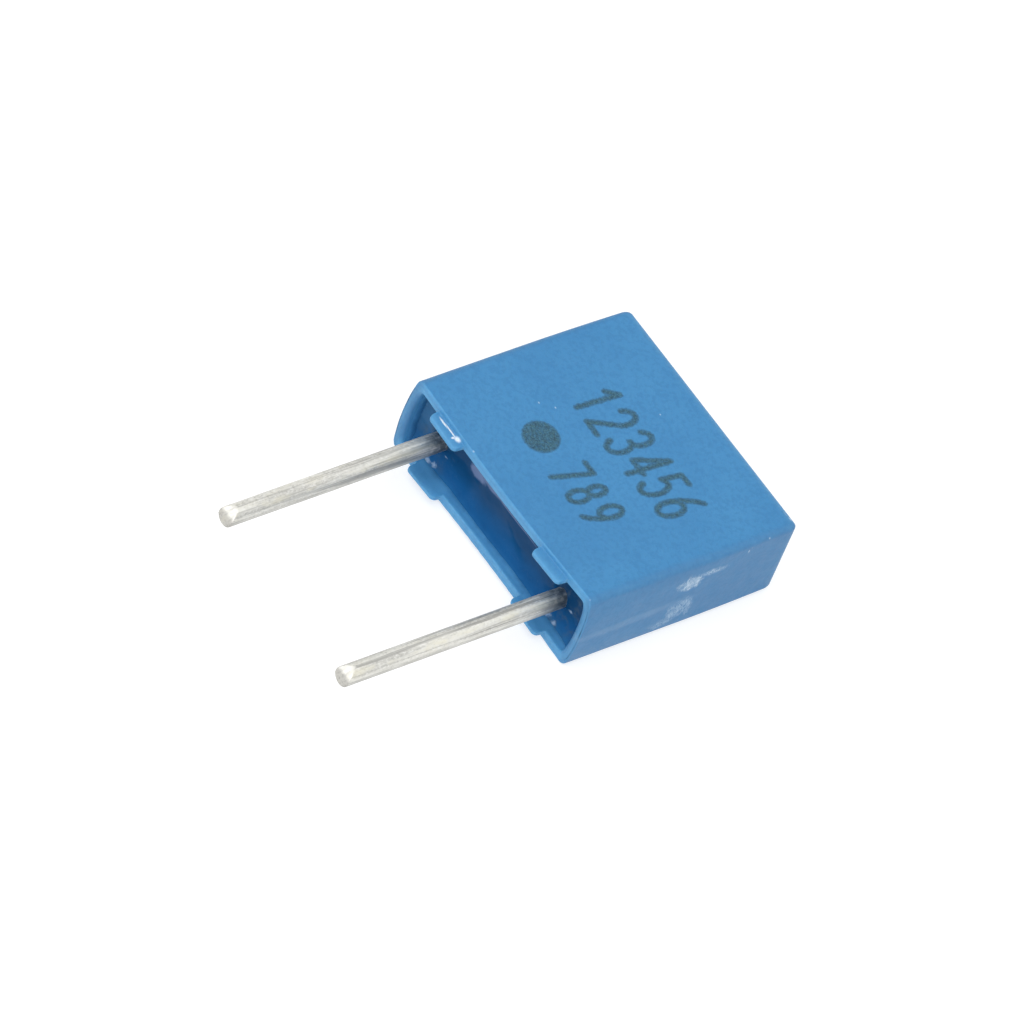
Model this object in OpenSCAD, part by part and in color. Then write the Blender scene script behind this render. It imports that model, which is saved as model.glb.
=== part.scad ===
// Box film capacitor with two parallel wire leads, radial, 5 mm lead spacing.
//
// Frame: X runs along the row of the two leads, Y runs from the leads (-Y)
// to the closed end of the case (+Y), Z is through the thickness. The origin
// is midway between the lead axes, on the seating plane that the standoff
// tips touch. The part lies on one broad wall. All sizes are millimetres.

/* [Case] */
// Length of the case along the row of leads, corner to corner at the open end
case_l = 7.1; // [6.9:0.05:7.3]
// Thickness of the case at the open end
case_t = 2.36; // [2.3:0.02:2.6]
// Height of the case from its open rim to its closed end, standoffs left out
case_h = 6.2; // [6.0:0.1:6.5]
// Wall thickness at the open rim
wall = 0.26; // [0.22:0.01:0.3]
// Thickness of the closed end
floor_t = 0.4; // [0.3:0.05:0.5]
// Mould draft of each outer wall over the full height
draft = 0.03; // [0.01:0.01:0.05]
// Mould draft of each inner wall over the full depth
draft_in = 0.06; // [0.03:0.01:0.08]
// Outward bow of the narrow walls, at the open rim
bow = 0.13; // [0.05:0.01:0.15]
// Inward sink of the broad walls, at the open rim
sink = 0.12; // [0.05:0.01:0.13]
// Radius of the outer edges that run from the rim to the closed end
edge_r = 0.16; // [0.1:0.01:0.2]
// Radius of the outer edges round the closed end
end_r = 0.26; // [0.2:0.01:0.3]

/* [Standoffs] */
// How far the standoffs reach past the rim
so_h = 0.3; // [0.25:0.05:0.4]
// Width of each standoff
so_w = 1.06; // [0.9:0.02:1.2]
// Distance of each standoff's centre from the middle of the case
so_x = 2.13; // [2.0:0.01:2.2]
// Corner radius of the standoff tips
so_r = 0.2; // [0.1:0.05:0.3]
// Step from the outer face of the broad wall to the standoff
so_step = 0.17; // [0.15:0.01:0.2]

/* [Leads] */
// Spacing of the two lead axes
pitch = 5.0; // [4.9:0.05:5.1]
// Diameter of the tinned wire
lead_d = 0.48; // [0.46:0.01:0.52]
// Free length of the left lead past the seating plane
left_l = 5.7; // [5:0.05:7]
// Free length of the right lead past the seating plane
right_l = 5.8; // [5:0.05:7]
// How much the tin coat thins from the seating plane to the stack, on the radius
coat_run = 0.006; // [0.002:0.001:0.01]
// Where the wire ends inside the case, from the seating plane
lead_in = 4.9; // [4:0.1:5.4]
// Thickness of the wire where it is pressed flat and welded to the stack
flat_t = 0.36; // [0.3:0.01:0.42]
// Width of the wire where it is pressed flat
flat_w = 0.5; // [0.44:0.01:0.6]

/* [Capacitor element] */
// Length of the film stack between its two sprayed ends
stack_l = 4.0; // [3.8:0.1:4.2]
// Height of the film stack
stack_h = 4.4; // [4:0.1:4.6]
// Thickness of the metallised film stack
stack_t = 1.1; // [0.9:0.05:1.2]
// Thickness of each plain cover film
cover_t = 0.1; // [0.05:0.01:0.12]
// Thickness of the sprayed metal at each end of the stack
spray_t = 0.36; // [0.33:0.01:0.38]
// Gap between the closed end of the cavity and the stack
stack_gap = 0.3; // [0.2:0.05:0.4]

/* [Sealing resin] */
// Depth of the resin surface below the rim, at the middle
seal_d = 0.42; // [0.35:0.01:0.5]
// Depth of the resin where it has crept up the walls
seal_creep = 0.2; // [0.15:0.01:0.25]

/* [Hidden] */

rim_y = so_h;                         // plane of the open rim
top_y = so_h + case_h;                // closed end, outside
floor_y = top_y - floor_t;            // closed end, inside
hl = case_l / 2;                      // half length at the corners
ht = case_t / 2;                      // half thickness
stack_y1 = floor_y - stack_gap;       // stack edge near the closed end
stack_y0 = stack_y1 - stack_h;        // stack edge near the leads
body_t = stack_t + 2 * cover_t;       // stack with both cover films
lead_r = lead_d / 2;
sink_c = hl - 0.25;                   // half chord of the sunken area
sink_r = (sink_c * sink_c + sink * sink) / (2 * sink);
sink_tilt = atan((sink + 0.5 * draft) / 5.2); // the sink runs out in 5.2 mm
far = 12;

// Outline that narrows from half width a0 at y0 to a1 at y1, with both far
// corners rounded to radius r, tangent to the slanted sides.
module drafted(a0, a1, y0, y1, r) {
    s = (a0 - a1) / (y1 - y0);
    al = atan(s);
    yc = y1 - r;
    xc = a0 - s * (yc - y0) - r / cos(al);
    xt = xc + r * cos(al);
    yt = yc + r * sin(al);
    polygon([[-a0, y0], [a0, y0], [xt, yt], [xc, y1], [-xc, y1], [-xt, yt]]);
    for (m = [-1, 1]) translate([m * xc, yc]) circle(r = r, $fn = 48);
}

// Rounded rectangle of half size a by b
module rounded(a, b, r) {
    square([2 * (a - r), 2 * b], center = true);
    square([2 * a, 2 * (b - r)], center = true);
    for (i = [-1, 1], j = [-1, 1])
        translate([i * (a - r), j * (b - r)]) circle(r = r, $fn = 48);
}

// Cross section of the case across its height: rounded edges along the
// broad sides, narrow sides bowed outwards by b at mid thickness.
module section(a, b, r, bw) {
    lens = (b * b + bw * bw) / (2 * bw);
    intersection() {
        union() {
            rounded(a + 0.03, b, r);
            square([2 * (a + bw), 2 * (b - r)], center = true);
        }
        translate([a + bw - lens, 0]) circle(r = lens, $fn = 360);
        translate([lens - a - bw, 0]) circle(r = lens, $fn = 360);
    }
}

// Prism of an outline in X and Y, through the thickness
module along_z() {
    translate([0, 0, -far / 2]) linear_extrude(height = far) children();
}

// Prism of an outline whose first coordinate becomes Z, along the row of leads
module along_x() {
    rotate([0, -90, 0]) translate([0, 0, -far / 2])
        linear_extrude(height = far) children();
}

// Prism of a section in X and Z, from y = -2 towards the closed end
module along_y() {
    translate([0, far - 2, 0]) rotate([90, 0, 0])
        linear_extrude(height = far) children();
}

// Long shallow cylinder whose underside is the sunken face of a broad wall.
// grow moves the face towards the middle of the case.
module sink_cut(grow) {
    for (m = [0, 1]) mirror([0, 0, m])
        translate([0, rim_y, ht - sink + sink_r])
            rotate([sink_tilt, 0, 0]) rotate([-90, 0, 0])
                translate([0, 0, -4])
                    cylinder(r = sink_r + grow, h = 14, $fn = 720);
}

// Outer form of the case from plane y0 to the closed end
module outer(y0) {
    sy = 2 * draft / case_h;
    sx = (bow + draft) / case_h;
    difference() {
        intersection() {
            along_z() drafted(hl + bow + sx * (rim_y - y0), hl - draft,
                              y0, top_y, end_r);
            along_x() drafted(ht + draft / case_h * (rim_y - y0), ht - draft,
                              y0, top_y, end_r);
            along_y() section(hl, ht + 0.01, edge_r, bow);
        }
        sink_cut(0);
    }
}

// Cavity of the case, open towards -Y
module cavity(y0) {
    d = floor_y - rim_y;
    difference() {
        intersection() {
            along_z() drafted(hl + bow - wall + draft_in / d * (rim_y - y0),
                              hl - wall - draft_in, y0, floor_y, 0.2);
            along_x() drafted(ht - wall + draft_in / d * (rim_y - y0),
                              ht - wall - draft_in, y0, floor_y, 0.2);
            along_y() section(hl - wall, ht - wall + 0.05, 0.06, bow);
        }
        sink_cut(wall);
    }
}

// The four standoffs, continuing the inner faces of the broad walls
module standoffs() {
    intersection() {
        outer(0);
        along_x() mirror([0, 1, 0])
            drafted(ht - so_step, ht - so_step, -rim_y - 0.2, 0, 0.06);
        union() {
            for (m = [-1, 1]) translate([m * so_x, 0, 0]) along_z()
                mirror([0, 1, 0])
                    drafted(so_w / 2, so_w / 2, -rim_y - 0.2, 0, so_r);
        }
    }
}

// Moulded case: one broad shell, closed at +Y, with four standoffs
module case() {
    color([0.30, 0.56, 0.80]) difference() {
        union() {
            outer(rim_y);
            standoffs();
        }
        cavity(-1);
    }
}

// Wire of one lead on the Y axis, with free length l. It is a true cylinder up
// to the seating plane, then the tin coat thins towards the stack, where the
// wire is pressed flat. The free end is cut by shears: its top rolls down to a
// short face and a sharp lower edge.
module wire(l) {
    roll = 0.34;
    union() {
        intersection() {
            rotate([90, 0, 0]) cylinder(r = lead_r, h = l, $fn = 64);
            along_x() union() {
                // first coordinate is Z, second is Y
                polygon([[-0.5, -l], [lead_r - roll, -l],
                         [lead_r, roll - l], [0.5, roll - l],
                         [0.5, 1], [-0.5, 1]]);
                intersection() {
                    translate([lead_r - roll, roll - l])
                        circle(r = roll, $fn = 64);
                    translate([lead_r - roll, -l]) square([roll, roll]);
                }
            }
        }
        wire_inside();
    }
}

// The wire above the seating plane, which is also the space it fills in the
// resin and in the sprayed metal
module wire_inside() {
    rotate([-90, 0, 0])
        cylinder(r1 = lead_r, r2 = lead_r - coat_run, h = stack_y0 - 0.15,
                 $fn = 64);
    translate([-flat_t / 2, stack_y0 - 0.15, -flat_w / 2])
        cube([flat_t, lead_in - stack_y0 + 0.15, flat_w]);
}

module lead(side) {
    color([0.74, 0.74, 0.72]) translate([side * pitch / 2, 0, 0])
        wire(side < 0 ? left_l : right_l);
}

module film_stack() {
    color([0.78, 0.76, 0.70])
        translate([-stack_l / 2, stack_y0, -stack_t / 2])
            cube([stack_l, stack_h, stack_t]);
}

// Plain film that covers one side of the stack: side is 1 above, -1 below
module cover_film(side) {
    color([0.86, 0.84, 0.78])
        translate([-stack_l / 2, stack_y0,
                   side > 0 ? stack_t / 2 : -stack_t / 2 - cover_t])
            cube([stack_l, stack_h, cover_t]);
}

// Sprayed metal on one end of the stack, with the wire welded into its face
module end_spray(side) {
    color([0.62, 0.63, 0.64]) difference() {
        translate([side > 0 ? stack_l / 2 : -stack_l / 2 - spray_t,
                   stack_y0, -body_t / 2])
            cube([spray_t, stack_h, body_t]);
        translate([side * pitch / 2, 0, 0]) wire_inside();
    }
}

// Space that the capacitor element takes inside the resin
module element_space() {
    translate([-stack_l / 2 - spray_t, stack_y0, -body_t / 2])
        cube([stack_l + 2 * spray_t, stack_h, body_t]);
}

// Resin that fills the case. Its free surface is hollow, and creeps up the
// walls on all four sides.
module seal_resin() {
    half = ht - wall;
    dip = seal_d - seal_creep;
    cr = (half * half + dip * dip) / (2 * dip);
    color([0.10, 0.24, 0.45]) difference() {
        intersection() {
            cavity(-1);
            translate([-far / 2, rim_y + seal_creep, -far / 2])
                cube([far, far, far]);
        }
        intersection() {
            translate([-far / 2, rim_y + seal_d - cr, 0]) rotate([0, 90, 0])
                cylinder(r = cr, h = far, $fn = 180);
            along_z() drafted(hl - wall + 0.02, hl - wall + 0.02,
                              -3, rim_y + seal_d, 0.5);
        }
        element_space();
        for (m = [-1, 1]) translate([m * pitch / 2, 0, 0]) wire_inside();
    }
}

case();
seal_resin();
film_stack();
cover_film(1);  // cover_film_upper
cover_film(-1);  // cover_film_lower
end_spray(-1);  // end_spray_left
end_spray(1);  // end_spray_right
lead(-1);  // lead_left
lead(1);  // lead_right
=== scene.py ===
"""Visual model of a small box film capacitor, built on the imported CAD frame.

Geometry is written in millimetres here and scaled to metres when a mesh is made.
"""
import math

import bmesh
import bpy
import numpy as np
from mathutils import Matrix, Vector


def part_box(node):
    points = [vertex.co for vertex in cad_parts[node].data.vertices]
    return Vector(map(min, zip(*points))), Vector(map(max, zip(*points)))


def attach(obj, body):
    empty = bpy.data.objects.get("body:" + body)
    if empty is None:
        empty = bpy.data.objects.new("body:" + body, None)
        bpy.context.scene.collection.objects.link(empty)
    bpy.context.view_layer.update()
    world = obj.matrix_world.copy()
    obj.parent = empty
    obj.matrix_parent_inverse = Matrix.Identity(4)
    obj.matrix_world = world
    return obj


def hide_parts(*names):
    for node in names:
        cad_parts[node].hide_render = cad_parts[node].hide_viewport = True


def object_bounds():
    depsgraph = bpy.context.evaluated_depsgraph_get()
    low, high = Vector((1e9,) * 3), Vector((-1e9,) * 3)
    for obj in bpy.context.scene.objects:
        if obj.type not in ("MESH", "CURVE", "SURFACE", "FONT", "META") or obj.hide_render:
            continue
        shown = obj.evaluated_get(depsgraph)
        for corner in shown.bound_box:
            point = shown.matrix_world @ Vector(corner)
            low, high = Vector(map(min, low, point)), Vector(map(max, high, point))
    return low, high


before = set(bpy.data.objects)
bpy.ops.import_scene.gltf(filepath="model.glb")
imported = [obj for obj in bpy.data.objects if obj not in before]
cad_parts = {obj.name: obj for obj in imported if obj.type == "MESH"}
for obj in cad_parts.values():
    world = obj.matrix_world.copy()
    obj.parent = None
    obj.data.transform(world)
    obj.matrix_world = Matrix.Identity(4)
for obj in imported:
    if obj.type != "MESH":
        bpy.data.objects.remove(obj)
CAD_LO, CAD_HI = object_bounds()
PI = math.pi

# ---------------------------------------------------------------- sizes, mm
c_lo, c_hi = [np.array(v) * 1000 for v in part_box("case")]
l_lo, l_hi = [np.array(v) * 1000 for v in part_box("lead_left")]
r_lo, r_hi = [np.array(v) * 1000 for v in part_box("lead_right")]
TOP = float(c_hi[1])                 # closed end
HT = float(c_hi[2])                  # half thickness
BOW = 0.13                           # narrow walls bow out
HL = float(c_hi[0]) - BOW            # half length at the corners
RIM, FLOOR, WALL = 0.3, TOP - 0.4, 0.26
DRAFT, DRAFT_IN, SINK = 0.03, 0.06, 0.12
SO_X, SO_W, SO_R, SO_S = 2.13, 1.06, 0.12, 0.13
CH = TOP - RIM
SC = HL - 0.25
SR = (SC * SC + SINK * SINK) / (2 * SINK)
TT = (SINK + 0.5 * DRAFT) / 5.2
LEAD_X = float(r_lo[0] + r_hi[0]) / 2
LEAD_R = float(r_hi[2])
TIP_L, TIP_R = float(-l_lo[1]), float(-r_lo[1])
LEAD_END = float(l_hi[1])


# ---------------------------------------------------------------- helpers
def smin(a, b, k):
    h = np.clip(0.5 + 0.5 * (b - a) / k, 0, 1)
    return b * (1 - h) + a * h - k * h * (1 - h)


def spos(v, e=0.02):
    return 0.5 * (v + np.sqrt(v * v + e * e))


def sstep(a, b, x):
    t = np.clip((x - a) / (b - a), 0, 1)
    return t * t * (3 - 2 * t)


def wob(x, seed, scale=1.0):
    """Smooth pseudo-random wave of about -1 to 1, the same each run."""
    x = np.asarray(x, float) * scale
    s = 0.0
    for k, (f, a) in enumerate(((1.0, 1.0), (1.93, 0.7), (3.71, 0.45), (6.83, 0.25))):
        s = s + a * np.sin(f * x * 2.1 + seed * (1.7 + k * 2.3) + k)
    return s / 2.4


def sink_z(x, y):
    """Height of the outer face of the upper broad wall."""
    t = (y - RIM) / CH
    sk = spos(SINK - x * x / (2 * SR) - (y - RIM) * TT + DRAFT * t)
    return HT - DRAFT * t - sk


def warp_out(P):
    x, y, z = P[:, 0], P[:, 1], P[:, 2]
    t = (y - RIM) / CH
    hx = smin(HL + BOW * (1 - np.clip(z / HT, -1, 1) ** 2),
              HL + BOW - (BOW + DRAFT) * t, 0.03)
    return np.stack([x * hx / HL, y, z * sink_z(x, y) / HT], 1)


def half_in(x, y, z):
    """Half length and half thickness of the cavity."""
    a, b = HL - WALL, HT - WALL
    t = (y - RIM) / (FLOOR - RIM)
    hx = smin(a + BOW * (1 - np.clip(z / (b + 0.05), -1, 1) ** 2),
              a + BOW - (BOW + DRAFT_IN) * t, 0.03)
    sk = spos(SINK - x * x / (2 * (SR + WALL)) - (y - RIM) * TT + DRAFT_IN * t)
    return hx, b - DRAFT_IN * t - sk


def warp_in(P):
    x, y, z = P[:, 0], P[:, 1], P[:, 2]
    hx, hz = half_in(x, y, z)
    return np.stack([x * hx / (HL - WALL), y, z * hz / (HT - WALL)], 1)


def make(name, V, F, mat, nodes, attrs=None, smooth=True):
    """Mesh piece from millimetre vertices, riding on the one body."""
    me = bpy.data.meshes.new(name)
    me.from_pydata((np.asarray(V, float) * 0.001).tolist(), [], [tuple(int(i) for i in f) for f in F])
    bm = bmesh.new()
    bm.from_mesh(me)
    bmesh.ops.recalc_face_normals(bm, faces=bm.faces)
    if bm.calc_volume(signed=True) < 0:
        bmesh.ops.reverse_faces(bm, faces=bm.faces)
    bm.to_mesh(me)
    bm.free()
    me.polygons.foreach_set("use_smooth", [smooth] * len(me.polygons))
    for key, val in (attrs or {}).items():
        at = me.attributes.new(key, "FLOAT", "POINT")
        at.data.foreach_set("value", np.asarray(val, np.float32))
    me.materials.append(mat)
    ob = bpy.data.objects.new(name, me)
    bpy.context.scene.collection.objects.link(ob)
    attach(ob, "root")
    if nodes:
        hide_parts(*nodes)
    return ob


class Tree:
    """Short way to write a material's node tree."""

    def __init__(self, name):
        self.mat = bpy.data.materials.new(name)
        self.mat.use_nodes = True
        self.nt = self.mat.node_tree
        self.nt.nodes.clear()
        self.out = self.nt.nodes.new("ShaderNodeOutputMaterial")
        self.bsdf = self.nt.nodes.new("ShaderNodeBsdfPrincipled")
        self.nt.links.new(self.bsdf.outputs[0], self.out.inputs[0])
        tc = self.nt.nodes.new("ShaderNodeTexCoord")
        self.P = self.vec("SCALE", tc.outputs["Object"], scale=1000.0)
        sep = self.nt.nodes.new("ShaderNodeSeparateXYZ")
        self.nt.links.new(self.P, sep.inputs[0])
        self.x, self.y, self.z = sep.outputs

    def put(self, sock, v):
        if isinstance(v, bpy.types.NodeSocket):
            self.nt.links.new(v, sock)
        elif v is not None:
            sock.default_value = v

    def vec(self, op, a, b=None, scale=None):
        n = self.nt.nodes.new("ShaderNodeVectorMath")
        n.operation = op
        self.put(n.inputs[0], a)
        if b is not None:
            self.put(n.inputs[1], b)
        if scale is not None:
            self.put(n.inputs["Scale"], scale)
        return n.outputs["Value"] if op in ("LENGTH", "DOT_PRODUCT", "DISTANCE") else n.outputs[0]

    def m(self, op, a, b=None, c=None, clamp=False):
        n = self.nt.nodes.new("ShaderNodeMath")
        n.operation = op
        n.use_clamp = clamp
        self.put(n.inputs[0], a)
        if b is not None:
            self.put(n.inputs[1], b)
        if c is not None:
            self.put(n.inputs[2], c)
        return n.outputs[0]

    def add(self, *v):
        r = v[0]
        for k in v[1:]:
            r = self.m("ADD", r, k)
        return r

    def mul(self, *v):
        r = v[0]
        for k in v[1:]:
            r = self.m("MULTIPLY", r, k)
        return r

    def ramp(self, v, lo, hi, a=0.0, b=1.0):
        n = self.nt.nodes.new("ShaderNodeMapRange")
        n.interpolation_type = "SMOOTHSTEP"
        self.put(n.inputs["Value"], v)
        for key, val in (("From Min", lo), ("From Max", hi), ("To Min", a), ("To Max", b)):
            n.inputs[key].default_value = val
        return n.outputs[0]

    def noise(self, scale, detail=3.0, rough=0.55, stretch=(1, 1, 1), offset=(0, 0, 0), dist=0.0, vec=None):
        n = self.nt.nodes.new("ShaderNodeMapping")
        self.put(n.inputs["Vector"], self.P if vec is None else vec)
        n.inputs["Location"].default_value = offset
        n.inputs["Scale"].default_value = stretch
        t = self.nt.nodes.new("ShaderNodeTexNoise")
        self.nt.links.new(n.outputs[0], t.inputs["Vector"])
        t.inputs["Scale"].default_value = scale
        t.inputs["Detail"].default_value = detail
        t.inputs["Roughness"].default_value = rough
        t.inputs["Distortion"].default_value = dist
        return t.outputs[0]

    def voronoi(self, scale, feature="F1", stretch=(1, 1, 1), rnd=1.0):
        n = self.nt.nodes.new("ShaderNodeMapping")
        self.nt.links.new(self.P, n.inputs["Vector"])
        n.inputs["Scale"].default_value = stretch
        t = self.nt.nodes.new("ShaderNodeTexVoronoi")
        t.feature = feature
        self.nt.links.new(n.outputs[0], t.inputs["Vector"])
        t.inputs["Scale"].default_value = scale
        t.inputs["Randomness"].default_value = rnd
        return t.outputs["Distance"]

    def attr(self, name):
        n = self.nt.nodes.new("ShaderNodeAttribute")
        n.attribute_name = name
        return n.outputs["Fac"]

    def mix(self, fac, a, b):
        n = self.nt.nodes.new("ShaderNodeMix")
        n.data_type = "RGBA"
        self.put(n.inputs[0], fac)
        self.put(n.inputs[6], a if isinstance(a, bpy.types.NodeSocket) else (*a, 1.0))
        self.put(n.inputs[7], b if isinstance(b, bpy.types.NodeSocket) else (*b, 1.0))
        return n.outputs[2]

    def spot(self, centre, radii, soft=0.35, warp=None):
        """1 inside a small ellipsoid, 0 outside, with a soft edge."""
        v = self.vec("SUBTRACT", self.P, tuple(centre))
        v = self.vec("DIVIDE", v, tuple(radii))
        d = self.vec("LENGTH", v)
        if warp is not None:
            d = self.m("ADD", d, warp)
        return self.ramp(d, 1 - soft, 1 + soft, 1.0, 0.0)

    def bump(self, um):
        """Bump from a height in thousandths of a millimetre."""
        n = self.nt.nodes.new("ShaderNodeBump")
        n.inputs["Strength"].default_value = 1.0
        n.inputs["Distance"].default_value = 1e-6
        self.put(n.inputs["Height"], um)
        self.nt.links.new(n.outputs[0], self.bsdf.inputs["Normal"])

    def set(self, **kw):
        for k, v in kw.items():
            s = self.bsdf.inputs[k.replace("_", " ")]
            self.put(s, (*v, 1.0) if isinstance(v, tuple) and len(v) == 3 and s.type == "RGBA" else v)


def lin(r, g, b):
    """Linear colour from 0-255 display values."""
    return tuple((c / 12.92 if c <= 0.04045 else ((c + 0.055) / 1.055) ** 2.4)
                 for c in (r / 255, g / 255, b / 255))


# ---------------------------------------------------------------- materials
def case_plastic():
    t = Tree("case_plastic")
    edge, inner, rim = t.attr("edge"), t.attr("inner"), t.attr("rim")
    big = t.noise(0.55, 2.0, 0.5, offset=(3, 1, 7))
    mid = t.noise(3.2, 3.0, 0.55)
    grain = t.noise(9.0, 4.0, 0.62)
    fine = t.noise(60.0, 2.0, 0.6)
    base = t.mix(t.ramp(big, 0.3, 0.7), BLUE_A, BLUE_B)
    base = t.mix(t.mul(t.ramp(mid, 0.35, 0.75), 0.18), base, BLUE_L)
    base = t.mix(t.mul(t.ramp(grain, 0.44, 0.62), 0.46), base, BLUE_D)
    base = t.mix(t.mul(t.ramp(fine, 0.50, 0.70), 0.24), base, BLUE_L)
    # edges and rim are paler: the edges partly worn and partly a painted highlight, the rim face a painted highlight
    wear_and_sheen = t.mul(edge, t.ramp(t.noise(5.0, 4.0, 0.6, offset=(5, 5, 1)), 0.25, 0.65, 0.25, 1.0))
    base = t.mix(t.mul(wear_and_sheen, 0.42), base, EDGE_C)
    base = t.mix(t.mul(rim, 0.30), base, EDGE_C)
    # painted shade: where the rim value falls below zero, on the inner rounding of the narrow walls, the rim is
    # painted darker
    base = t.mix(t.ramp(rim, -0.6, 0.05, 0.60, 0.0), base, (0.026, 0.160, 0.370))
    # inner faces are painted lighter near the rim as painted light, and darker further in as painted shade
    deepin = t.ramp(t.add(t.y, t.mul(t.m("SUBTRACT", mid, 0.5), 0.25)), 0.38, 0.72)
    base = t.mix(t.mul(inner, 0.85), base, t.mix(deepin, BLUE_IN, (0.012, 0.110, 0.290)))
    # narrow side walls are dulled and greyed, partly by handling and partly as painted sheen
    side = t.ramp(t.m("ABSOLUTE", t.x), 3.30, 3.52)
    outer = t.m("SUBTRACT", 1.0, inner)
    haze_and_sheen = t.mul(side, outer, t.ramp(t.noise(1.6, 4.0, 0.6, stretch=(1, 0.5, 1.6)), 0.3, 0.75, 0.35, 1.0))
    base = t.mix(t.mul(haze_and_sheen, 0.22), base, HAZE_SHEEN_C)
    # painted shade: the narrow side walls are darker overall
    base = t.mix(t.mul(side, outer, 0.28), base, (0.014, 0.100, 0.245))
    # low light band along the side, near the rim: painted sheen
    right = t.ramp(t.x, 3.3, 3.45)
    sheen_streak = t.mul(right, t.spot((3.6, 1.9, -0.12), (0.6, 1.7, 0.13), 0.5,
                                 t.mul(t.m("SUBTRACT", t.noise(4.0, 4.0, 0.6, stretch=(1, 0.5, 1)), 0.5), 0.9)))
    base = t.mix(t.mul(sheen_streak, 0.10), base, SCUFF_AND_SHEEN_C)
    # two scuffed patches with fine pale scratches
    w = t.mul(t.m("SUBTRACT", t.noise(3.6, 4.0, 0.62, offset=(1, 4, 2)), 0.5), 2.2)
    patch = t.m("MAXIMUM", t.spot((3.6, 3.52, 0.50), (0.6, 0.36, 0.24), 0.30, w),
                t.mul(t.spot((3.6, 4.05, 0.62), (0.6, 0.42, 0.09), 0.5, w), 0.8))
    patch = t.m("MAXIMUM", patch, t.mul(t.spot((3.6, 3.45, -0.45), (0.6, 0.36, 0.28), 0.4, w), 0.62))
    patch = t.m("MAXIMUM", patch, t.mul(t.spot((3.6, 3.05, -0.75), (0.6, 0.36, 0.14), 0.5, w), 0.45))
    lines = t.noise(30.0, 4.0, 0.65, stretch=(1, 0.85, 0.45), dist=0.6)
    scr = t.mul(right, patch, t.ramp(lines, 0.37, 0.56))
    scr = t.mul(scr, t.ramp(t.noise(7.0, 3.0, 0.6, offset=(9, 2, 2)), 0.3, 0.62, 0.3, 1.0))
    core = t.mul(right, t.spot((3.6, 3.50, 0.48), (0.6, 0.24, 0.15), 0.6, t.mul(w, 0.8)))
    base = t.mix(t.mul(core, 0.24), base, SCUFF_AND_SHEEN_C)
    base = t.mix(t.mul(scr, 0.95), base, SCUFF_AND_SHEEN_C)
    # printed marks: a worn dark ink with a soft ragged edge
    d = t.attr("marks")
    rag = t.add(t.mul(t.m("SUBTRACT", t.noise(13.0, 3.0, 0.6, offset=(3, 9, 1)), 0.5), 0.075),
                t.mul(t.m("SUBTRACT", t.noise(38.0, 2.0, 0.6), 0.5), 0.050))
    ink = t.ramp(t.add(d, rag), -0.014, 0.030, 1.0, 0.0)
    deep = t.ramp(d, -0.060, 0.0, 1.0, 0.70)
    ia, ib = t.noise(17.0, 4.0, 0.65), t.noise(30.0, 3.0, 0.6, offset=(4, 4, 4))
    icol = t.mix(t.ramp(ia, 0.36, 0.64), (0.005, 0.042, 0.075), (0.022, 0.100, 0.160))
    icol = t.mix(t.mul(t.ramp(ib, 0.48, 0.64), t.ramp(d, -0.055, -0.02, 0.85, 0.25)), icol, (0.050, 0.155, 0.185))
    ink = t.mul(ink, deep, t.ramp(t.noise(11.0, 4.0, 0.7, offset=(2, 5, 8)), 0.34, 0.56, 0.70, 0.97))
    base = t.mix(ink, base, icol)
    # small bright nicks and specks, some of them painted sparkles of light
    nick_sparkle = None
    for c, r in NICKS_AND_SPARKLES:
        s = t.spot(c, r, 0.5)
        nick_sparkle = s if nick_sparkle is None else t.m("MAXIMUM", nick_sparkle, s)
    nick_sparkle = t.mul(nick_sparkle, t.ramp(fine, 0.3, 0.5, 0.5, 1.0))
    base = t.mix(t.mul(nick_sparkle, 0.36), base, NICK_SPARKLE_C)
    # painted glints: near-white spots where the tab roots catch the light
    glint = None
    for c, r in GLINTS:
        q = t.spot(c, r, 0.55, t.mul(t.m("SUBTRACT", grain, 0.5), 0.8))
        glint = q if glint is None else t.m("MAXIMUM", glint, q)
    base = t.mix(t.mul(glint, 0.85), base, (0.86, 0.92, 0.96))
    # thin ridges at the tab roots: raised and glossier, with a painted highlight in their colour
    ridge_glint = None
    for c, r in RIDGE_GLINTS:
        q = t.spot(c, r, 0.6)
        ridge_glint = q if ridge_glint is None else t.m("MAXIMUM", ridge_glint, q)
    base = t.mix(t.mul(ridge_glint, 0.42), base, NICK_SPARKLE_C)
    t.set(Base_Color=base)
    rough = t.add(t.ramp(mid, 0.3, 0.7, 0.42, 0.52), t.mul(ridge_glint, -0.2), t.mul(haze_and_sheen, 0.06), t.mul(scr, 0.25),
                  t.mul(t.m("MAXIMUM", rim, 0.0), 0.08), t.ramp(fine, 0.3, 0.7, -0.03, 0.03), t.mul(ink, 0.10))
    t.set(Roughness=rough, IOR=1.49, Subsurface_Weight=0.12, Subsurface_Scale=0.0004,
          Subsurface_Radius=(0.3, 0.6, 1.0))
    h = t.add(t.mul(grain, 9.0), t.mul(fine, 1.0), t.mul(ridge_glint, 9.0), t.mul(t.noise(1.4, 2.0, 0.5, offset=(2, 8, 1)), 8.0),
              t.mul(ink, t.add(1.5, t.mul(ib, 5.0))),
              t.mul(scr, t.m("SUBTRACT", lines, 0.5), 8.0), t.mul(nick_sparkle, -3.0),
              t.mul(rim, t.noise(9.0, 4.0, 0.6), 6.0), t.mul(edge, t.noise(14.0, 3.0, 0.6), 2.0))
    t.bump(h)
    return t.mat


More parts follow.
